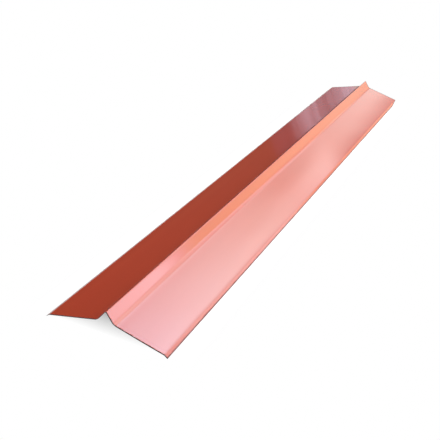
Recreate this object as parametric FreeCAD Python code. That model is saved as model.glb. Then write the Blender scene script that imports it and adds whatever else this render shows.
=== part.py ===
import FreeCAD
import Part
import os
from math import cos, radians, sin, tan

# Roof ridge cap, folded along its length from one strip of pre-painted steel sheet.
# X runs across the ridge, Y along it and Z up. The origin lies at floor level, midway
# between the lips and midway along the cap. The lap end is the end at +Y.
# Lengths are in millimetres. Slopes are in degrees from level, as the cap lies on a floor.

LENGTH = 2500.0
SHEET = 0.5

# Widths of the flats on one side of the crest, from fold to fold along the top face
CREST_WIDTH = 40.0
WING_WIDTH = 150.0
LIP_WIDTH = 11.0

CREST_SLOPE = 54.0
WING_SLOPE = 14.0
LIP_SLOPE = 37.0

# Bend radii, on the hollow side of each fold
CREST_BEND = 3.0
VALLEY_BEND = 14.0
LIP_BEND = 2.5

# Length over which each lip is trimmed away towards the lap end, for the next cap to lie over
LAP_LENGTH = 100.0


def descend(width, slope):
    """Step across the section, outwards to the right and down."""
    return FreeCAD.Vector(width * cos(radians(slope)), 0, -width * sin(radians(slope)))


def mirror(point):
    """The same point on the left of the crest."""
    return FreeCAD.Vector(-point.x, point.y, point.z)


def sheet_below(points):
    """Fold points of the underside, one sheet thickness below those of the top face."""
    downs = []
    for start, end in zip(points, points[1:]):
        run = (end - start).normalize()
        downs.append(FreeCAD.Vector(run.z, 0, -run.x))
    below = [points[0] + downs[0] * SHEET]
    for corner, before, after in zip(points[1:], downs, downs[1:]):
        mitre = (before + after) * (SHEET / (1 + before.dot(after)))
        below.append(corner + mitre)
    below.append(points[-1] + downs[-1] * SHEET)
    return below


def folded_line(points, radii):
    """Edges through the points, with an arc of its own radius at each fold."""
    edges = []
    start = points[0]
    for before, fold, after, radius in zip(points, points[1:], points[2:], radii):
        run_in = (fold - before).normalize()
        run_out = (after - fold).normalize()
        half_turn = run_in.getAngle(run_out) / 2
        setback = radius * tan(half_turn)
        hollow_side = (run_out - run_in).normalize()
        bend_start = fold - run_in * setback
        bend_middle = fold + hollow_side * (radius / cos(half_turn) - radius)
        bend_end = fold + run_out * setback
        edges.append(Part.LineSegment(start, bend_start).toShape())
        edges.append(Part.Arc(bend_start, bend_middle, bend_end).toShape())
        start = bend_end
    edges.append(Part.LineSegment(start, points[-1]).toShape())
    return edges


def folded_section(top_points):
    """Face of the whole section: top face, underside and the two cut edges of the lips."""
    below_points = sheet_below(top_points)
    top_radii = [LIP_BEND + SHEET, VALLEY_BEND, CREST_BEND + SHEET, VALLEY_BEND, LIP_BEND + SHEET]
    below_radii = [LIP_BEND, VALLEY_BEND + SHEET, CREST_BEND, VALLEY_BEND + SHEET, LIP_BEND]
    outline = folded_line(top_points, top_radii)
    outline.append(Part.LineSegment(top_points[-1], below_points[-1]).toShape())
    outline.extend(folded_line(list(reversed(below_points)), list(reversed(below_radii))))
    outline.append(Part.LineSegment(below_points[0], top_points[0]).toShape())
    return Part.Face(Part.Wire(outline))


def lap_trim(lip_fold, lip_tip):
    """Wedge, seen from above, that trims one lip on a slant back from the lap end."""
    half_turn = radians(LIP_SLOPE - WING_SLOPE) / 2
    bend_setback = (LIP_BEND + SHEET) * tan(half_turn)
    flat_start = lip_fold + (lip_tip - lip_fold).normalize() * bend_setback
    at_end = FreeCAD.Vector(flat_start.x, LENGTH / 2, -SHEET)
    at_tip = FreeCAD.Vector(lip_tip.x, LENGTH / 2 - LAP_LENGTH, -SHEET)
    slant = at_tip - at_end
    past_end = at_end - slant
    past_tip = at_tip + slant
    outside = FreeCAD.Vector(past_tip.x, past_end.y, -SHEET)
    plan = Part.Face(Part.makePolygon([past_end, past_tip, outside, past_end]))
    return plan.extrude(FreeCAD.Vector(0, 0, lip_fold.z + SHEET))


def ridge_cap():
    """The folded strip, resting on its lips, with both lips trimmed at the lap end."""
    drop_to_valley = descend(CREST_WIDTH, CREST_SLOPE)
    drop_to_lip = descend(WING_WIDTH, WING_SLOPE)
    drop_to_tip = descend(LIP_WIDTH, LIP_SLOPE)
    tip_height = SHEET * cos(radians(LIP_SLOPE))
    crest_height = tip_height - drop_to_valley.z - drop_to_lip.z - drop_to_tip.z

    crest = FreeCAD.Vector(0, -LENGTH / 2, crest_height)
    valley = crest + drop_to_valley
    lip_fold = valley + drop_to_lip
    lip_tip = lip_fold + drop_to_tip
    left_points = [mirror(lip_tip), mirror(lip_fold), mirror(valley)]
    section = folded_section(left_points + [crest, valley, lip_fold, lip_tip])

    strip = section.extrude(FreeCAD.Vector(0, LENGTH, 0))
    right_trim = lap_trim(lip_fold, lip_tip)
    left_trim = lap_trim(mirror(lip_fold), mirror(lip_tip))
    return strip.cut([right_trim, left_trim]).Solids[0]


os.makedirs("parts", exist_ok=True)
ridge_cap().exportStep("parts/ridge_cap.step")
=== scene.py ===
import math
from typing import NamedTuple

import bpy
from bpy.props import FloatProperty, FloatVectorProperty, IntProperty, PointerProperty
from mathutils import Matrix, Vector


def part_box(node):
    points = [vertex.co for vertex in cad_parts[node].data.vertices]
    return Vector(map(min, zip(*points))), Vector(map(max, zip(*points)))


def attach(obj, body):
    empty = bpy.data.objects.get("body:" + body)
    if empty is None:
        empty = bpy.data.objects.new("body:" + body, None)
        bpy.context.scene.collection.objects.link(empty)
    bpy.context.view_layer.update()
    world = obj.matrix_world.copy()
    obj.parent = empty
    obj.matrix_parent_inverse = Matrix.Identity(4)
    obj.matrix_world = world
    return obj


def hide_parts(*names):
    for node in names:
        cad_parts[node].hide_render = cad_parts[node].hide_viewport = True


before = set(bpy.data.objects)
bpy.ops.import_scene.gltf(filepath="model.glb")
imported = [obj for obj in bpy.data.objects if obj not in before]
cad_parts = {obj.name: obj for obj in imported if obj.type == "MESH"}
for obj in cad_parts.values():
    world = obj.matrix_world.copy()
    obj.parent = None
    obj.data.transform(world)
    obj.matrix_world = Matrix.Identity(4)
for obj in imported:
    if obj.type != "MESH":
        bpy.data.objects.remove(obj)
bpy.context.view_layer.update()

CAP_LOW, CAP_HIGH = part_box("ridge_cap")

bl_info = {
    "name": "Roof Ridge Cap",
    "version": (1, 0, 0),
    "blender": (4, 5, 0),
    "location": "3D View > Sidebar > Ridge Cap",
    "description": "A ridge cap folded from pre-painted steel sheet, and the studio it stands in",
    "category": "Add Mesh",
}

# Lengths are in metres. X runs across the ridge, Y along it and Z up.
MM = 0.001

# Columns of faces over each run of half the section, from the crest outwards
RUN_COLUMNS = {
    "crest bend": 6,
    "crest flat": 4,
    "valley bend": 10,
    "wing": 14,
    "lip bend": 6,
    "lip": 4,
}
# Rows of faces along the cap
ROWS = 100
# Share of its flat that a lip keeps where its trim ends, so that no face shrinks to a line
TRIMMED_LIP = 0.02
# Turn given to every run of the section, so that a straight one doesn't divide nought by nought
HAIR_TURN = 1e-6
# Points this close together become one
MERGE_DISTANCE = 0.02 * MM
# Edges that turn more than this are shaded sharp
SHARP_TURN = math.radians(40)

# Values between which most of a noise lies, most of two noises added up, and the noise of the waves
NOISE_LOW, NOISE_HIGH = 0.3, 0.7
TONE_LOW, TONE_HIGH = 0.6, 1.4
WAVE_LOW, WAVE_HIGH = 0.25, 0.75


def linear(hex_colour):
    """sRGB hex to the linear colour that shaders and properties take."""
    channels = []
    for start in (1, 3, 5):
        value = int(hex_colour[start:start + 2], 16) / 255
        channels.append(value / 12.92 if value <= 0.04045 else ((value + 0.055) / 1.055) ** 2.4)
    return tuple(channels)


def opaque(colour):
    """The same colour with an alpha of one, as a shader's colour socket takes it."""
    return (*colour, 1.0)


WHITE = opaque(linear("#FFFFFF"))


def add_node(tree, kind, inputs=None, **settings):
    """Adds a node with its settings, fills its inputs with values or links, and returns its outputs.

    An input goes by its name, or by its number where names repeat. A list holds the links of an
    input that takes several.
    """
    node = tree.nodes.new(kind)
    for name, value in settings.items():
        setattr(node, name, value)
    for key, value in (inputs or {}).items():
        for source in value if isinstance(value, list) else [value]:
            if isinstance(source, bpy.types.NodeSocket):
                tree.links.new(source, node.inputs[key])
            else:
                node.inputs[key].default_value = source
    return node.outputs


def new_material(name):
    """An empty node material."""
    material = bpy.data.materials.new(name)
    material.use_nodes = True
    material.node_tree.nodes.clear()
    return material


class RidgeCapSizes(bpy.types.PropertyGroup):
    length: FloatProperty(
        name="Length", description="Length of the cap along the ridge",
        default=CAP_HIGH.y - CAP_LOW.y, subtype="DISTANCE", unit="LENGTH")
    crest_top: FloatProperty(
        name="Crest Top", description="Height of the crest above the floor",
        default=CAP_HIGH.z, subtype="DISTANCE", unit="LENGTH")
    sheet: FloatProperty(
        name="Sheet", description="Thickness of the painted sheet",
        default=0.5 * MM, subtype="DISTANCE", unit="LENGTH")
    crest_width: FloatProperty(
        name="Crest Width", description="Width of the steep flat, from the crest to the valley fold",
        default=40 * MM, subtype="DISTANCE", unit="LENGTH")
    wing_width: FloatProperty(
        name="Wing Width", description="Width of the wing, from the valley fold to the lip fold",
        default=150 * MM, subtype="DISTANCE", unit="LENGTH")
    lip_width: FloatProperty(
        name="Lip Width", description="Width of the drip lip, from its fold to its cut edge",
        default=11 * MM, subtype="DISTANCE", unit="LENGTH")
    crest_slope: FloatProperty(
        name="Crest Slope", description="Slope of the steep flats beside the crest",
        default=math.radians(54), subtype="ANGLE", unit="ROTATION")
    wing_slope: FloatProperty(
        name="Wing Slope", description="Slope of the wings",
        default=math.radians(14), subtype="ANGLE", unit="ROTATION")
    lip_slope: FloatProperty(
        name="Lip Slope", description="Slope of the drip lips",
        default=math.radians(37), subtype="ANGLE", unit="ROTATION")
    crest_bend: FloatProperty(
        name="Crest Bend", description="Bend radius on the hollow side of the crest fold",
        default=3 * MM, subtype="DISTANCE", unit="LENGTH")
    # Softer than the solid's 14 mm, as the shading beside the crest shows. The two part by 0.6 mm
    valley_bend: FloatProperty(
        name="Valley Bend", description="Bend radius on the hollow side of the valley folds",
        default=24 * MM, subtype="DISTANCE", unit="LENGTH")
    lip_bend: FloatProperty(
        name="Lip Bend", description="Bend radius on the hollow side of the lip folds",
        default=2.5 * MM, subtype="DISTANCE", unit="LENGTH")
    lap_length: FloatProperty(
        name="Lap Length", description="Length over which each lip is trimmed away at the lap end",
        default=100 * MM, subtype="DISTANCE", unit="LENGTH")
    wave_height: FloatProperty(
        name="Wave Height", description="How far the thin wings stand in or out of true",
        default=0.6 * MM, subtype="DISTANCE", unit="LENGTH")
    wave_length: FloatProperty(
        name="Wave Length", description="Length of the waves in the wings",
        default=420 * MM, subtype="DISTANCE", unit="LENGTH")
    wave_seed: IntProperty(
        name="Wave Seed", description="Which pattern of waves the wings have",
        default=7)


class RidgeCapFinish(bpy.types.PropertyGroup):
    paint: FloatVectorProperty(
        name="Paint", description="Colour of the top coat",
        default=linear("#A3361E"), size=3, min=0, max=1, subtype="COLOR")
    back_coat: FloatVectorProperty(
        name="Back Coat", description="Colour of the coat on the underside",
        default=linear("#B9BAB4"), size=3, min=0, max=1, subtype="COLOR")
    # Bare metal darkened into painted shade: it colours the cut faces and the painted shade line along
    # the cut edges
    bare_metal_and_edge_shade: FloatVectorProperty(
        name="Bare Edge", description="Colour of the metal where the sheet was cut",
        default=linear("#1C1413"), size=3, min=0, max=1, subtype="COLOR")


class RidgeCapStage(bpy.types.PropertyGroup):
    floor: FloatVectorProperty(
        name="Floor", description="Colour of the floor",
        default=linear("#F4F3F1"), size=3, min=0, max=1, subtype="COLOR")
    lamps: FloatProperty(
        name="Lamps", description="Share of their full brightness that all the softboxes give",
        default=1.0, min=0, subtype="FACTOR")
    room: FloatProperty(
        name="Room Light", description="Brightness of the light from all round, where 1 is white",
        default=0.15, min=0)


def painted_top_coat(paint, bare_metal_and_edge_shade):
    """Polyester coil coating, roller-applied to galvanised steel and stoved before folding.

    It is an even colour with a gloss that turns mirror-like at a glancing angle. The eye sees the
    lights around it, a faint streak along the strip, and bare metal along the cut edges, widened by
    painted shade into a dark line.
    """
    material = new_material("polyester_coil_coat_oxide_red")
    tree = material.node_tree
    place = add_node(tree, "ShaderNodeTexCoord")["Object"]

    # Drift of the paint film over a few hundred millimetres
    drift = add_node(tree, "ShaderNodeTexNoise", {
        "Vector": place, "Scale": 1 / (280 * MM), "Detail": 2.0})["Fac"]
    # Roller streaks about 24 mm wide and nearly as long as the cap
    along = add_node(tree, "ShaderNodeMapping", {
        "Vector": place, "Scale": (1 / (24 * MM), 1 / (2000 * MM), 1 / (24 * MM))})["Vector"]
    streaks = add_node(tree, "ShaderNodeTexNoise", {
        "Vector": along, "Scale": 1.0, "Detail": 1.0})["Fac"]
    tone = add_node(tree, "ShaderNodeMath", {0: drift, 1: streaks}, operation="ADD")[0]
    value = add_node(tree, "ShaderNodeMapRange", {
        "Value": tone, "From Min": TONE_LOW, "From Max": TONE_HIGH, "To Min": 0.97, "To Max": 1.03})[0]
    colour = add_node(tree, "ShaderNodeHueSaturation", {
        "Value": value, "Color": opaque(paint)})["Color"]
    gloss = add_node(tree, "ShaderNodeMapRange", {
        "Value": tone, "From Min": TONE_LOW, "From Max": TONE_HIGH, "To Min": 0.07, "To Max": 0.1})[0]

    # Cut edges: a cut strips the paint for under 1 mm. The rim is drawn 4 to 5 mm wide, bare metal at
    # the edge and painted shade beyond it, a dark shade line along the edge. It is full over the outer
    # half and then fades. The ends were sheared bare, the sides slit more cleanly
    ragged_rim_width = add_node(tree, "ShaderNodeTexNoise", {
        "Vector": place, "Scale": 1 / (12 * MM), "Detail": 2.0})["Fac"]
    reach = add_node(tree, "ShaderNodeMapRange", {
        "Value": ragged_rim_width, "From Min": NOISE_LOW, "From Max": NOISE_HIGH,
        "To Min": 3.6 * MM, "To Max": 5.2 * MM})[0]
    full = add_node(tree, "ShaderNodeMath", {0: reach, 1: 0.5}, operation="MULTIPLY")[0]
    rims = []
    for name, bare in (("side_distance", 0.75), ("end_distance", 1.0)):
        distance = add_node(tree, "ShaderNodeAttribute", attribute_name=name)["Fac"]
        rims.append(add_node(tree, "ShaderNodeMapRange", {
            "Value": distance, "From Min": full, "From Max": reach, "To Min": bare, "To Max": 0.0})[0])
    # Mask of the rim: bare metal at the very edge, painted shade over the rest of its width
    gone = add_node(tree, "ShaderNodeMath", {0: rims[0], 1: rims[1]}, operation="MAXIMUM")[0]
    shown = add_node(tree, "ShaderNodeMix", {
        0: gone, 6: colour, 7: opaque(bare_metal_and_edge_shade)}, data_type="RGBA")[2]
    rough = add_node(tree, "ShaderNodeMix", {0: gone, 2: gloss, 3: 1.0})[0]

    # Orange peel is about 2 mm across, drawn 14 mm across so that it shows
    peel = add_node(tree, "ShaderNodeTexNoise", {
        "Vector": place, "Scale": 1 / (14 * MM), "Detail": 1.0})["Fac"]
    bump = add_node(tree, "ShaderNodeBump", {
        "Strength": 0.25, "Distance": 0.06 * MM, "Height": peel})["Normal"]

    surface = add_node(tree, "ShaderNodeBsdfPrincipled", {
        "Base Color": shown, "Roughness": rough, "IOR": 1.5, "Normal": bump})["BSDF"]
    add_node(tree, "ShaderNodeOutputMaterial", {"Surface": surface})
    return material


def primer_back_coat(back_coat):
    """Thin epoxy back coat, a pale grey wash roller-applied to the underside.

    It is matt and a little uneven, with roller lines along the strip.
    """
    material = new_material("epoxy_back_coat_pale_grey")
    tree = material.node_tree
    place = add_node(tree, "ShaderNodeTexCoord")["Object"]
    # Roller lines about 6 mm wide, and clouds of about 120 mm in the thin wash
    along = add_node(tree, "ShaderNodeMapping", {
        "Vector": place, "Scale": (1 / (6 * MM), 1 / (900 * MM), 1 / (6 * MM))})["Vector"]
    lines = add_node(tree, "ShaderNodeTexNoise", {"Vector": along, "Scale": 1.0, "Detail": 4.0})["Fac"]
    cloud = add_node(tree, "ShaderNodeTexNoise", {
        "Vector": place, "Scale": 1 / (120 * MM), "Detail": 3.0})["Fac"]
    tone = add_node(tree, "ShaderNodeMath", {0: lines, 1: cloud}, operation="ADD")[0]
    value = add_node(tree, "ShaderNodeMapRange", {
        "Value": tone, "From Min": TONE_LOW, "From Max": TONE_HIGH, "To Min": 0.85, "To Max": 1.1})[0]
    colour = add_node(tree, "ShaderNodeHueSaturation", {
        "Value": value, "Color": opaque(back_coat)})["Color"]
    rough = add_node(tree, "ShaderNodeMapRange", {
        "Value": tone, "From Min": TONE_LOW, "From Max": TONE_HIGH, "To Min": 0.5, "To Max": 0.65})[0]
    surface = add_node(tree, "ShaderNodeBsdfPrincipled", {
        "Base Color": colour, "Roughness": rough, "IOR": 1.5})["BSDF"]
    add_node(tree, "ShaderNodeOutputMaterial", {"Surface": surface})
    return material


def sheared_steel_edge(bare_metal_and_edge_shade):
    """Galvanised steel, sheared: a dull edge with torn grain and the first tint of rust, its colour
    darkened as painted shade.
    """
    material = new_material("sheared_galvanised_steel")
    tree = material.node_tree
    place = add_node(tree, "ShaderNodeTexCoord")["Object"]
    # The torn grain is under 0.1 mm, drawn 3 mm long so that it shows
    grain = add_node(tree, "ShaderNodeTexNoise", {
        "Vector": place, "Scale": 1 / (3 * MM), "Detail": 3.0})["Fac"]
    value = add_node(tree, "ShaderNodeMapRange", {"Value": grain, "To Min": 0.7, "To Max": 1.2})[0]
    colour = add_node(tree, "ShaderNodeHueSaturation", {
        "Value": value, "Color": opaque(bare_metal_and_edge_shade)})["Color"]
    rough = add_node(tree, "ShaderNodeMapRange", {"Value": grain, "To Min": 0.45, "To Max": 0.7})[0]
    surface = add_node(tree, "ShaderNodeBsdfPrincipled", {
        "Base Color": colour, "Roughness": rough})["BSDF"]
    add_node(tree, "ShaderNodeOutputMaterial", {"Surface": surface})
    return material


def section_run_group():
    """Node group for one run of the section, straight or bent to a radius.

    From a column of the strip it gives the share of the run that lies before that column, and how
    far the section has gone across and down by then.
    """
    tree = bpy.data.node_groups.new("section_run", "GeometryNodeTree")
    for name in ("Column", "First", "Last", "Length", "Slope", "Next Slope"):
        tree.interface.new_socket(name, in_out="INPUT", socket_type="NodeSocketFloat")
    for name in ("Share", "Across", "Down"):
        tree.interface.new_socket(name, in_out="OUTPUT", socket_type="NodeSocketFloat")
    given = add_node(tree, "NodeGroupInput")
    share = add_node(tree, "ShaderNodeMapRange", {
        "Value": given["Column"], "From Min": given["First"], "From Max": given["Last"]})[0]
    gone = add_node(tree, "ShaderNodeMath", {0: share, 1: given["Length"]}, operation="MULTIPLY")[0]
    turn = add_node(tree, "ShaderNodeMath", {
        0: given["Next Slope"], 1: given["Slope"]}, operation="SUBTRACT")[0]
    half = add_node(tree, "ShaderNodeMath", {0: turn, 1: 0.5}, operation="MULTIPLY")[0]
    # The way gone is the chord of an arc: shorter than it, and sloped as at its middle
    bent = add_node(tree, "ShaderNodeMath", {
        0: share, 1: half, 2: HAIR_TURN}, operation="MULTIPLY_ADD")[0]
    rise = add_node(tree, "ShaderNodeMath", {0: bent}, operation="SINE")[0]
    shrink = add_node(tree, "ShaderNodeMath", {0: rise, 1: bent}, operation="DIVIDE")[0]
    chord = add_node(tree, "ShaderNodeMath", {0: gone, 1: shrink}, operation="MULTIPLY")[0]
    slope = add_node(tree, "ShaderNodeMath", {0: given["Slope"], 1: bent}, operation="ADD")[0]
    cosine = add_node(tree, "ShaderNodeMath", {0: slope}, operation="COSINE")[0]
    sine = add_node(tree, "ShaderNodeMath", {0: slope}, operation="SINE")[0]
    across = add_node(tree, "ShaderNodeMath", {0: chord, 1: cosine}, operation="MULTIPLY")[0]
    down = add_node(tree, "ShaderNodeMath", {0: chord, 1: sine}, operation="MULTIPLY")[0]
    add_node(tree, "NodeGroupOutput", {"Share": share, "Across": across, "Down": down})
    return tree


def run_lengths(tree, given, to_lap_end):
    """Lengths of the runs of half the section, from the crest outwards.

    The last one depends on the distance to the lap end, where the lip is trimmed.
    """
    # Radius on the top face, turn and setback of each fold
    crest_radius = add_node(tree, "ShaderNodeMath", {
        0: given["Crest Bend"], 1: given["Sheet"]}, operation="ADD")[0]
    lip_radius = add_node(tree, "ShaderNodeMath", {
        0: given["Lip Bend"], 1: given["Sheet"]}, operation="ADD")[0]
    valley_turn = add_node(tree, "ShaderNodeMath", {
        0: given["Crest Slope"], 1: given["Wing Slope"]}, operation="SUBTRACT")[0]
    lip_turn = add_node(tree, "ShaderNodeMath", {
        0: given["Lip Slope"], 1: given["Wing Slope"]}, operation="SUBTRACT")[0]
    valley_half = add_node(tree, "ShaderNodeMath", {0: valley_turn, 1: 0.5}, operation="MULTIPLY")[0]
    lip_half = add_node(tree, "ShaderNodeMath", {0: lip_turn, 1: 0.5}, operation="MULTIPLY")[0]
    arcs = []
    setbacks = []
    for radius, turn, half in (
        (crest_radius, given["Crest Slope"], given["Crest Slope"]),
        (given["Valley Bend"], valley_turn, valley_half),
        (lip_radius, lip_turn, lip_half),
    ):
        tangent = add_node(tree, "ShaderNodeMath", {0: half}, operation="TANGENT")[0]
        arcs.append(add_node(tree, "ShaderNodeMath", {0: radius, 1: turn}, operation="MULTIPLY")[0])
        setbacks.append(add_node(tree, "ShaderNodeMath", {
            0: radius, 1: tangent}, operation="MULTIPLY")[0])

    # Flats between the folds; the lip is trimmed on a slant towards the lap end
    flats = []
    for width, taken in (
        (given["Crest Width"], setbacks[0:2]),
        (given["Wing Width"], setbacks[1:3]),
        (given["Lip Width"], setbacks[2:3]),
    ):
        for setback in taken:
            width = add_node(tree, "ShaderNodeMath", {0: width, 1: setback}, operation="SUBTRACT")[0]
        flats.append(width)
    left_of_lip = add_node(tree, "ShaderNodeMapRange", {
        "Value": to_lap_end, "From Max": given["Lap Length"], "To Min": TRIMMED_LIP})[0]
    flats[2] = add_node(tree, "ShaderNodeMath", {0: flats[2], 1: left_of_lip}, operation="MULTIPLY")[0]
    return [arcs[0], flats[0], arcs[1], flats[1], arcs[2], flats[2]]


def folded_section(tree, given, column, lengths):
    """Where each column of half the strip comes to lie, run after run from the crest outwards.

    Returns how far it lies across and down from the crest, how far along the sheet from the cut
    side, and the share of the wing that lies before it.
    """
    crest, wing, lip = given["Crest Slope"], given["Wing Slope"], given["Lip Slope"]
    slopes = [(0.0, crest), (crest, crest), (crest, wing), (wing, wing), (wing, lip), (lip, lip)]
    group = section_run_group()
    across, down, to_side = 0.0, 0.0, 0.0
    shares = {}
    first = 0
    for run, length, (slope, next_slope) in zip(RUN_COLUMNS, lengths, slopes):
        last = first + RUN_COLUMNS[run]
        part = add_node(tree, "GeometryNodeGroup", {
            "Column": column, "First": float(first), "Last": float(last),
            "Length": length, "Slope": slope, "Next Slope": next_slope}, node_tree=group)
        across = add_node(tree, "ShaderNodeMath", {0: across, 1: part["Across"]}, operation="ADD")[0]
        down = add_node(tree, "ShaderNodeMath", {0: down, 1: part["Down"]}, operation="ADD")[0]
        ahead = add_node(tree, "ShaderNodeMath", {0: 1.0, 1: part["Share"]}, operation="SUBTRACT")[0]
        to_side = add_node(tree, "ShaderNodeMath", {
            0: ahead, 1: length, 2: to_side}, operation="MULTIPLY_ADD")[0]
        shares[run] = part["Share"]
        first = last
    return across, down, to_side, shares["wing"]


def waved_wings(tree, given, sheet):
    """The sheet with waves in its thin wings, as high as the swell stored on it allows."""
    often = add_node(tree, "ShaderNodeMath", {0: 1.0, 1: given["Wave Length"]}, operation="DIVIDE")[0]
    wave = add_node(tree, "ShaderNodeTexNoise", {
        "W": given["Wave Seed"], "Scale": often, "Detail": 1.0}, noise_dimensions="4D")["Fac"]
    centred = add_node(tree, "ShaderNodeMapRange", {
        "Value": wave, "From Min": WAVE_LOW, "From Max": WAVE_HIGH, "To Min": -1.0, "To Max": 1.0})[0]
    swell = add_node(tree, "GeometryNodeInputNamedAttribute", {"Name": "swell"})["Attribute"]
    height = add_node(tree, "ShaderNodeMath", {
        0: given["Wave Height"], 1: swell}, operation="MULTIPLY")[0]
    height = add_node(tree, "ShaderNodeMath", {0: height, 1: centred}, operation="MULTIPLY")[0]
    normal = add_node(tree, "GeometryNodeInputNormal")[0]
    offset = add_node(tree, "ShaderNodeVectorMath", {0: normal, "Scale": height}, operation="SCALE")[0]
    return add_node(tree, "GeometryNodeSetPosition", {"Geometry": sheet, "Offset": offset})[0]


def folded_sheet_tree():
    """Tree that folds a flat strip by rule into the cap, and gives it its thickness and finishes."""
    tree = bpy.data.node_groups.new("folded_sheet", "GeometryNodeTree")
    tree.is_modifier = True
    tree.interface.new_socket("Geometry", in_out="OUTPUT", socket_type="NodeSocketGeometry")
    for name in (
        "Length", "Crest Top", "Sheet", "Crest Width", "Wing Width", "Lip Width", "Crest Slope",
        "Wing Slope", "Lip Slope", "Crest Bend", "Valley Bend", "Lip Bend", "Lap Length",
        "Wave Height", "Wave Length", "Wave Seed",
    ):
        tree.interface.new_socket(name, in_out="INPUT", socket_type="NodeSocketFloat")
    for name in ("Top Coat", "Back Coat", "Cut Edge"):
        tree.interface.new_socket(name, in_out="INPUT", socket_type="NodeSocketMaterial")
    given = add_node(tree, "NodeGroupInput")

    # The strip is laid out with one unit of X to each column, so X tells the column
    columns = sum(RUN_COLUMNS.values())
    strip = add_node(tree, "GeometryNodeMeshGrid", {
        "Size X": 2.0 * columns, "Size Y": given["Length"],
        "Vertices X": 2 * columns + 1, "Vertices Y": ROWS + 1})["Mesh"]
    place = add_node(tree, "GeometryNodeInputPosition")[0]
    flat = add_node(tree, "ShaderNodeSeparateXYZ", {0: place})
    column = add_node(tree, "ShaderNodeMath", {0: flat["X"]}, operation="ABSOLUTE")[0]
    side = add_node(tree, "ShaderNodeMath", {0: flat["X"]}, operation="SIGN")[0]
    lap_end = add_node(tree, "ShaderNodeMath", {0: given["Length"], 1: 0.5}, operation="MULTIPLY")[0]
    to_lap_end = add_node(tree, "ShaderNodeMath", {0: lap_end, 1: flat["Y"]}, operation="SUBTRACT")[0]
    from_middle = add_node(tree, "ShaderNodeMath", {0: flat["Y"]}, operation="ABSOLUTE")[0]
    to_end = add_node(tree, "ShaderNodeMath", {0: lap_end, 1: from_middle}, operation="SUBTRACT")[0]

    lengths = run_lengths(tree, given, to_lap_end)
    across, down, to_side, wing_share = folded_section(tree, given, column, lengths)
    x = add_node(tree, "ShaderNodeMath", {0: across, 1: side}, operation="MULTIPLY")[0]
    z = add_node(tree, "ShaderNodeMath", {0: given["Crest Top"], 1: down}, operation="SUBTRACT")[0]
    folded_place = add_node(tree, "ShaderNodeCombineXYZ", {0: x, 1: flat["Y"], 2: z})[0]

    # Kept on the sheet: its distances to the cut sides and ends, for the rim of bare metal and painted
    # shade, and the swell of the wings, which is most between their folds
    swell = add_node(tree, "ShaderNodeMath", {0: wing_share, 1: math.pi}, operation="MULTIPLY")[0]
    swell = add_node(tree, "ShaderNodeMath", {0: swell}, operation="SINE")[0]
    marked = strip
    for name, value in (("side_distance", to_side), ("end_distance", to_end), ("swell", swell)):
        marked = add_node(tree, "GeometryNodeStoreNamedAttribute", {
            "Geometry": marked, "Name": name, "Value": value}, domain="POINT")[0]
    folded = add_node(tree, "GeometryNodeSetPosition", {
        "Geometry": marked, "Position": folded_place})[0]
    waved = waved_wings(tree, given, folded)

    # Thickness: the same sheet again on the underside, with the cut edges between the two
    inwards = add_node(tree, "ShaderNodeMath", {0: given["Sheet"], 1: -1.0}, operation="MULTIPLY")[0]
    under = add_node(tree, "GeometryNodeExtrudeMesh", {
        "Mesh": waved, "Offset Scale": inwards, "Individual": False}, mode="FACES")
    turned = add_node(tree, "GeometryNodeFlipFaces", {"Mesh": under["Mesh"]})[0]
    both = add_node(tree, "GeometryNodeJoinGeometry", {0: [waved, turned]})[0]
    closed = add_node(tree, "GeometryNodeMergeByDistance", {
        "Geometry": both, "Distance": MERGE_DISTANCE})[0]
    smooth = add_node(tree, "GeometryNodeSetShadeSmooth", {"Geometry": closed}, domain="FACE")[0]
    angle = add_node(tree, "GeometryNodeInputMeshEdgeAngle")["Unsigned Angle"]
    sharp = add_node(tree, "FunctionNodeCompare", {0: angle, 1: SHARP_TURN})[0]
    creased = add_node(tree, "GeometryNodeSetShadeSmooth", {
        "Geometry": smooth, "Selection": sharp, "Shade Smooth": False}, domain="EDGE")[0]

    # Finishes: top coat all over, then the back coat on the underside and bare metal, darkened as
    # painted shade, on the cuts
    whole = add_node(tree, "GeometryNodeRealizeInstances", {"Geometry": creased})[0]
    painted = add_node(tree, "GeometryNodeSetMaterial", {
        "Geometry": whole, "Material": given["Top Coat"]})[0]
    backed = add_node(tree, "GeometryNodeSetMaterial", {
        "Geometry": painted, "Selection": under["Top"], "Material": given["Back Coat"]})[0]
    edged = add_node(tree, "GeometryNodeSetMaterial", {
        "Geometry": backed, "Selection": under["Side"], "Material": given["Cut Edge"]})[0]
    add_node(tree, "NodeGroupOutput", {"Geometry": edged})
    return tree


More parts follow.
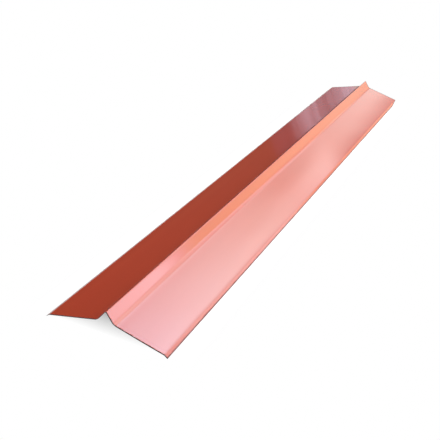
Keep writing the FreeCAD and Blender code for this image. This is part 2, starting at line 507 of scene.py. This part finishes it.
class RIDGECAP_OT_folded_sheet(bpy.types.Operator):
    """Fold the painted sheet of the ridge cap"""
    bl_idname = "ridgecap.folded_sheet"
    bl_label = "Folded Sheet"

    def execute(self, context):
        if "ridge_cap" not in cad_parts:
            raise RuntimeError("The frame has no ridge cap to finish")
        sizes = context.scene.ridge_cap_sizes
        finish = context.scene.ridge_cap_finish
        values = {
            "Length": sizes.length, "Crest Top": sizes.crest_top, "Sheet": sizes.sheet,
            "Crest Width": sizes.crest_width, "Wing Width": sizes.wing_width,
            "Lip Width": sizes.lip_width, "Crest Slope": sizes.crest_slope,
            "Wing Slope": sizes.wing_slope, "Lip Slope": sizes.lip_slope,
            "Crest Bend": sizes.crest_bend, "Valley Bend": sizes.valley_bend,
            "Lip Bend": sizes.lip_bend, "Lap Length": sizes.lap_length,
            "Wave Height": sizes.wave_height, "Wave Length": sizes.wave_length,
            "Wave Seed": float(sizes.wave_seed),
            "Top Coat": painted_top_coat(finish.paint, finish.bare_metal_and_edge_shade),
            "Back Coat": primer_back_coat(finish.back_coat),
            "Cut Edge": sheared_steel_edge(finish.bare_metal_and_edge_shade),
        }
        piece = bpy.data.objects.new("ridge_cap_sheet", bpy.data.meshes.new("flat_strip"))
        context.scene.collection.objects.link(piece)
        tree = folded_sheet_tree()
        folding = piece.modifiers.new("Fold", "NODES")
        folding.node_group = tree
        for socket in tree.interface.items_tree:
            if socket.in_out == "INPUT":
                folding[socket.identifier] = values[socket.name]
        graph = context.evaluated_depsgraph_get()
        mesh = bpy.data.meshes.new_from_object(
            piece.evaluated_get(graph), preserve_all_data_layers=True, depsgraph=graph)
        if not mesh.polygons:
            raise RuntimeError("The folded sheet came out empty")
        piece.modifiers.remove(folding)
        piece.data = mesh
        mesh.name = "ridge_cap_sheet"
        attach(piece, "root")
        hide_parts("ridge_cap")
        return {"FINISHED"}


class Softbox(NamedTuple):
    """A flat panel of soft light that dims to nothing over its rim. A brightness of 1 looks white.

    Its foot and its top each have a colour, and a left and a right brightness as the cap sees it.
    The foot's look lasts up to the knee, and from there it grades into the top's.
    """
    name: str
    centre: tuple
    faces: tuple
    width: float
    height: float
    rim: float
    foot_colour: str
    foot: tuple
    top_colour: str
    top: tuple


class Card(NamedTuple):
    """A flat card that only reflections see, from one corner along two sides.

    It has flutes between two brightnesses, which run square to X.
    """
    name: str
    corner: tuple
    along: tuple
    up: tuple
    colour: str
    dim: float
    bright: float


# The wall of lights and cards behind the lap end stands this far back. Its softboxes stand a gap
# apart, because a reflection sees only one of two lights in the same plane
WALL = 3.4
GAP = 0.02
SOFTBOXES = (
    Softbox(
        "key_softbox", centre=(3.0, 0.8, 2.05), faces=(-1, 0, 0), width=5.6, height=3.9, rim=0.9,
        foot_colour="#F4F4FF", foot=(6.7, 5.8), top_colour="#FFFFFF", top=(4.6, 0.6)),
    Softbox(
        "wall_softbox", centre=(-0.3, WALL, 2.8), faces=(0, -1, 0), width=1.0, height=5.4, rim=0.25,
        foot_colour="#E8FAF2", foot=(0.9, 1.9), top_colour="#D4E4FF", top=(4.0, 18.0)),
    Softbox(
        "warm_softbox", centre=(1.675, WALL + 2 * GAP, 0.925), faces=(0, -1, 0),
        width=3.14, height=1.65, rim=0.3,
        foot_colour="#FFFFC4", foot=(0.75, 2.5), top_colour="#FFFFD8", top=(0.0, 2.6)),
    Softbox(
        "narrow_softbox", centre=(0.15, WALL + 3 * GAP, 3.2), faces=(0, -1, 0),
        width=0.6, height=3.6, rim=0.25,
        foot_colour="#FFFFFF", foot=(1.7, 1.7), top_colour="#FFFFFF", top=(0.6, 0.6)),
    Softbox(
        "high_softbox", centre=(1.65, WALL + GAP, 3.15), faces=(0, -1, 0),
        width=3.3, height=3.7, rim=0.45,
        foot_colour="#F4FFFF", foot=(1.6, 5.0), top_colour="#FFFFFF", top=(5.2, 8.6)),
    Softbox(
        "low_softbox", centre=(0.55, WALL + 4 * GAP, 1.2), faces=(0, -1, 0),
        width=0.8, height=0.8, rim=0.2,
        foot_colour="#FFFFE8", foot=(1.3, 1.3), top_colour="#FFFFE8", top=(1.3, 1.3)),
    Softbox(
        "overhead_softbox", centre=(0, -0.6, 3.2), faces=(0, 0, -1), width=2.6, height=3.4, rim=0.3,
        foot_colour="#FFFFFF", foot=(4.4, 4.4), top_colour="#FFFFFF", top=(0.8, 0.8)),
    Softbox(
        "left_softbox", centre=(-2.6, -1.6, 1.4), faces=(2.6, 1.6, -1.4),
        width=2.0, height=1.6, rim=0.3,
        foot_colour="#FFFFFF", foot=(0.3, 0.3), top_colour="#FFFFFF", top=(0.3, 0.3)),
)
# Share of its height up to which a softbox keeps the look of its foot
KNEE = 0.35

DARK_CARD = Card(
    "dark_card", corner=(-7.0, WALL + GAP, 0), along=(6.2, 0, 0), up=(0, 0, 3.4),
    colour="#FFEEDC", dim=0.15, bright=0.19)
FLOOR_CARD = Card(
    "floor_card", corner=(-0.8, -1.4, 0.002), along=(0.61, 0, 0), up=(0, 4.7, 0),
    colour="#EFEAFF", dim=0.05, bright=0.05)
# A row of cards stands side by side in front of the dark one, from its left end
ROW_LEFT = -1.65
ROW_FOOT = 0.28
ROW_HEIGHT = 0.6
ROW_COLOUR = "#EFEAFF"
# Width of the cards' flutes
FLUTE = 22 * MM

# How far the floor reaches from the middle of the cap
FLOOR_REACH = 40.0
# The floor turns from its own shade to white over this way beside the cap
SHADOW_BESIDE = 0.06
# At both ends it does so under the cap, between these distances from its end
SHADOW_INSIDE, SHADOW_STOP = 0.15, 0.01

# Camera fitted to the photograph: a little right of the cap, looking down along it
CAMERA_PLACE = (0.83662, -2.60719, 1.14506)
CAMERA_TURN = math.radians(22.2257)
CAMERA_TILT = math.radians(26.6325)
CAMERA_ROLL = math.radians(5.2233)
LENS_MM = 62.507
SENSOR_MM = 36.0


def card_row():
    """The cards of the row: a dim one, then fluted ones, each with its width and brightnesses."""
    cards = []
    left = ROW_LEFT
    for name, width, dim, bright in (
        ("dim_card", 0.22, 0.15, 0.3),
        ("first_fluted_card", 0.1, 0.0, 1.0),
        ("left_fluted_card", 0.18, 0.4, 1.3),
        ("middle_fluted_card", 0.18, 0.2, 1.0),
        ("right_fluted_card", 0.08, 0.5, 1.2),
        ("last_fluted_card", 0.1, 0.8, 1.5),
    ):
        cards.append(Card(
            name, corner=(left, WALL, ROW_FOOT), along=(width, 0, 0), up=(0, 0, ROW_HEIGHT),
            colour=ROW_COLOUR, dim=dim, bright=bright))
        left += width
    return cards


def seen_directly(tree):
    """A value of one for what the camera sees straight, mirrored or through glass, and else nought."""
    path = add_node(tree, "ShaderNodeLightPath")
    seen = path["Is Camera Ray"]
    for ray in ("Is Glossy Ray", "Is Transmission Ray"):
        seen = add_node(tree, "ShaderNodeMath", {0: seen, 1: path[ray]}, operation="MAXIMUM")[0]
    return seen


def pale_floor(colour):
    """Matt white floor paint, rolled: plain, and white to the camera away from the cap."""
    material = new_material("matt_white_floor_paint")
    tree = material.node_tree
    place = add_node(tree, "ShaderNodeTexCoord")["Object"]
    diffuse = add_node(tree, "ShaderNodeBsdfDiffuse", {"Color": opaque(colour)})["BSDF"]
    white = add_node(tree, "ShaderNodeEmission", {"Color": WHITE, "Strength": 1.0})[0]
    # Under the cap and close beside it the floor keeps its own shade, so that the shadow shows
    away = add_node(tree, "ShaderNodeSeparateXYZ", {0: place})
    beside = add_node(tree, "ShaderNodeMath", {0: away["X"]}, operation="ABSOLUTE")[0]
    lengthwise = add_node(tree, "ShaderNodeMath", {0: away["Y"]}, operation="ABSOLUTE")[0]
    side_share = add_node(tree, "ShaderNodeMapRange", {
        "Value": beside, "From Min": CAP_HIGH.x, "From Max": CAP_HIGH.x + SHADOW_BESIDE})[0]
    end_share = add_node(tree, "ShaderNodeMapRange", {
        "Value": lengthwise,
        "From Min": CAP_HIGH.y - SHADOW_INSIDE, "From Max": CAP_HIGH.y - SHADOW_STOP})[0]
    share = add_node(tree, "ShaderNodeMath", {
        0: side_share, 1: end_share}, operation="MAXIMUM")[0]
    share = add_node(tree, "ShaderNodeMath", {
        0: share, 1: seen_directly(tree)}, operation="MULTIPLY")[0]
    surface = add_node(tree, "ShaderNodeMixShader", {0: share, 1: diffuse, 2: white})[0]
    add_node(tree, "ShaderNodeOutputMaterial", {"Surface": surface})
    return material


def add_floor(scene, colour):
    """Adds the floor, level with the foot of the cap."""
    corners = [
        (x * FLOOR_REACH, y * FLOOR_REACH, CAP_LOW.z) for x, y in ((-1, -1), (1, -1), (1, 1), (-1, 1))]
    mesh = bpy.data.meshes.new("floor")
    mesh.from_pydata(corners, [], [(0, 1, 2, 3)])
    mesh.materials.append(pale_floor(colour))
    floor = bpy.data.objects.new("floor", mesh)
    scene.collection.objects.link(floor)


def backlit_board(card):
    """Fluted plastic board, lit from behind: streaks of light that the coat's gloss mirrors."""
    material = new_material(f"backlit_fluted_plastic_{card.name}")
    tree = material.node_tree
    place = add_node(tree, "ShaderNodeTexCoord")["Object"]
    upright = add_node(tree, "ShaderNodeMapping", {
        "Vector": place, "Scale": (1 / FLUTE, 0, 0)})["Vector"]
    flutes = add_node(tree, "ShaderNodeTexNoise", {
        "Vector": upright, "Scale": 1.0, "Detail": 1.0})["Fac"]
    strength = add_node(tree, "ShaderNodeMapRange", {
        "Value": flutes, "From Min": NOISE_LOW, "From Max": NOISE_HIGH,
        "To Min": card.dim, "To Max": card.bright})[0]
    glow = add_node(tree, "ShaderNodeEmission", {
        "Color": opaque(linear(card.colour)), "Strength": strength})[0]
    add_node(tree, "ShaderNodeOutputMaterial", {"Surface": glow})
    return material


def add_card(scene, card):
    """Adds a card that only reflections see."""
    corner, along, up = Vector(card.corner), Vector(card.along), Vector(card.up)
    mesh = bpy.data.meshes.new(card.name)
    mesh.from_pydata([corner, corner + along, corner + along + up, corner + up], [], [(0, 1, 2, 3)])
    mesh.materials.append(backlit_board(card))
    board = bpy.data.objects.new(card.name, mesh)
    board.visible_camera = False
    board.visible_diffuse = False
    board.visible_shadow = False
    scene.collection.objects.link(board)


def add_softbox(scene, box, lamps):
    """Adds a softbox, with its brightness graded between its corners and dimmed at its rim."""
    light = bpy.data.lights.new(box.name, "AREA")
    light.shape = "RECTANGLE"
    light.size = box.width
    light.size_y = box.height
    # This power gives the panel a brightness of one before its nodes grade it
    light.energy = math.pi * box.width * box.height * lamps
    light.use_nodes = True
    tree = light.node_tree
    tree.nodes.clear()
    # X runs from the right to the left of the panel as the cap sees it, and Y from its foot to its top
    place = add_node(tree, "ShaderNodeNewGeometry")["Parametric"]
    spot = add_node(tree, "ShaderNodeSeparateXYZ", {0: place})
    grade = add_node(tree, "ShaderNodeMapRange", {"Value": spot["Y"], "From Min": KNEE})[0]
    sides = []
    for foot, top in zip(box.foot, box.top):
        sides.append(add_node(tree, "ShaderNodeMapRange", {
            "Value": grade, "To Min": foot, "To Max": top})[0])
    left, right = sides
    level = add_node(tree, "ShaderNodeMix", {0: spot["X"], 2: right, 3: left})[0]
    margins = []
    for axis, size in (("X", box.width), ("Y", box.height)):
        share = add_node(tree, "ShaderNodeMath", {0: spot[axis], 1: 0.5}, operation="PINGPONG")[0]
        margins.append(add_node(tree, "ShaderNodeMath", {0: share, 1: size}, operation="MULTIPLY")[0])
    margin = add_node(tree, "ShaderNodeMath", {0: margins[0], 1: margins[1]}, operation="MINIMUM")[0]
    dimming = add_node(tree, "ShaderNodeMapRange", {
        "Value": margin, "From Max": box.rim}, interpolation_type="SMOOTHSTEP")[0]
    strength = add_node(tree, "ShaderNodeMath", {0: level, 1: dimming}, operation="MULTIPLY")[0]
    colour = add_node(tree, "ShaderNodeMix", {
        0: grade, 6: opaque(linear(box.foot_colour)), 7: opaque(linear(box.top_colour))},
        data_type="RGBA")[2]
    shine = add_node(tree, "ShaderNodeEmission", {"Color": colour, "Strength": strength})[0]
    add_node(tree, "ShaderNodeOutputLight", {"Surface": shine})
    panel = bpy.data.objects.new(box.name, light)
    panel.location = box.centre
    panel.rotation_mode = "QUATERNION"
    panel.rotation_quaternion = Vector(box.faces).to_track_quat("-Z", "Y")
    scene.collection.objects.link(panel)


def white_room(brightness):
    """World that looks white, and gives light of the given brightness from all round."""
    world = bpy.data.worlds.new("white_room")
    world.use_nodes = True
    tree = world.node_tree
    tree.nodes.clear()
    strength = add_node(tree, "ShaderNodeMapRange", {
        "Value": seen_directly(tree), "To Min": brightness, "To Max": 1.0})[0]
    glow = add_node(tree, "ShaderNodeBackground", {"Color": WHITE, "Strength": strength})[0]
    add_node(tree, "ShaderNodeOutputWorld", {"Surface": glow})
    return world


def add_camera(scene):
    """Adds the camera, where the photograph was taken from."""
    camera_data = bpy.data.cameras.new("camera")
    camera_data.sensor_width = SENSOR_MM
    camera_data.lens = LENS_MM
    camera = bpy.data.objects.new("camera", camera_data)
    camera.matrix_world = (
        Matrix.Translation(CAMERA_PLACE)
        @ Matrix.Rotation(CAMERA_TURN, 4, "Z")
        @ Matrix.Rotation(math.pi / 2 - CAMERA_TILT, 4, "X")
        @ Matrix.Rotation(CAMERA_ROLL, 4, "Z"))
    scene.collection.objects.link(camera)
    scene.camera = camera


class RIDGECAP_OT_stage(bpy.types.Operator):
    """Set the ridge cap on a pale floor in plain soft light, with the camera"""
    bl_idname = "ridgecap.stage"
    bl_label = "Stage"

    def execute(self, context):
        scene = context.scene
        setup = scene.ridge_cap_stage
        scene.view_settings.view_transform = "Standard"
        add_floor(scene, setup.floor)
        for card in (DARK_CARD, *card_row(), FLOOR_CARD):
            add_card(scene, card)
        for box in SOFTBOXES:
            add_softbox(scene, box, setup.lamps)
        scene.world = white_room(setup.room)
        add_camera(scene)
        return {"FINISHED"}


class RIDGECAP_PT_panel(bpy.types.Panel):
    """Pieces of the ridge cap and its stage"""
    bl_idname = "RIDGECAP_PT_panel"
    bl_label = "Ridge Cap"
    bl_space_type = "VIEW_3D"
    bl_region_type = "UI"
    bl_category = "Ridge Cap"

    def draw(self, context):
        for owner, operator in (
            (context.scene.ridge_cap_sizes, RIDGECAP_OT_folded_sheet),
            (context.scene.ridge_cap_finish, None),
            (context.scene.ridge_cap_stage, RIDGECAP_OT_stage),
        ):
            box = self.layout.box()
            for name in owner.__annotations__:
                box.prop(owner, name)
            if operator:
                box.operator(operator.bl_idname)


CLASSES = (
    RidgeCapSizes,
    RidgeCapFinish,
    RidgeCapStage,
    RIDGECAP_OT_folded_sheet,
    RIDGECAP_OT_stage,
    RIDGECAP_PT_panel,
)


def register():
    for cls in CLASSES:
        bpy.utils.register_class(cls)
    bpy.types.Scene.ridge_cap_sizes = PointerProperty(type=RidgeCapSizes)
    bpy.types.Scene.ridge_cap_finish = PointerProperty(type=RidgeCapFinish)
    bpy.types.Scene.ridge_cap_stage = PointerProperty(type=RidgeCapStage)


def unregister():
    del bpy.types.Scene.ridge_cap_stage
    del bpy.types.Scene.ridge_cap_finish
    del bpy.types.Scene.ridge_cap_sizes
    for cls in reversed(CLASSES):
        bpy.utils.unregister_class(cls)


def main():
    register()
    bpy.ops.ridgecap.folded_sheet()
    bpy.ops.ridgecap.stage()


if __name__ == "__main__":
    main()
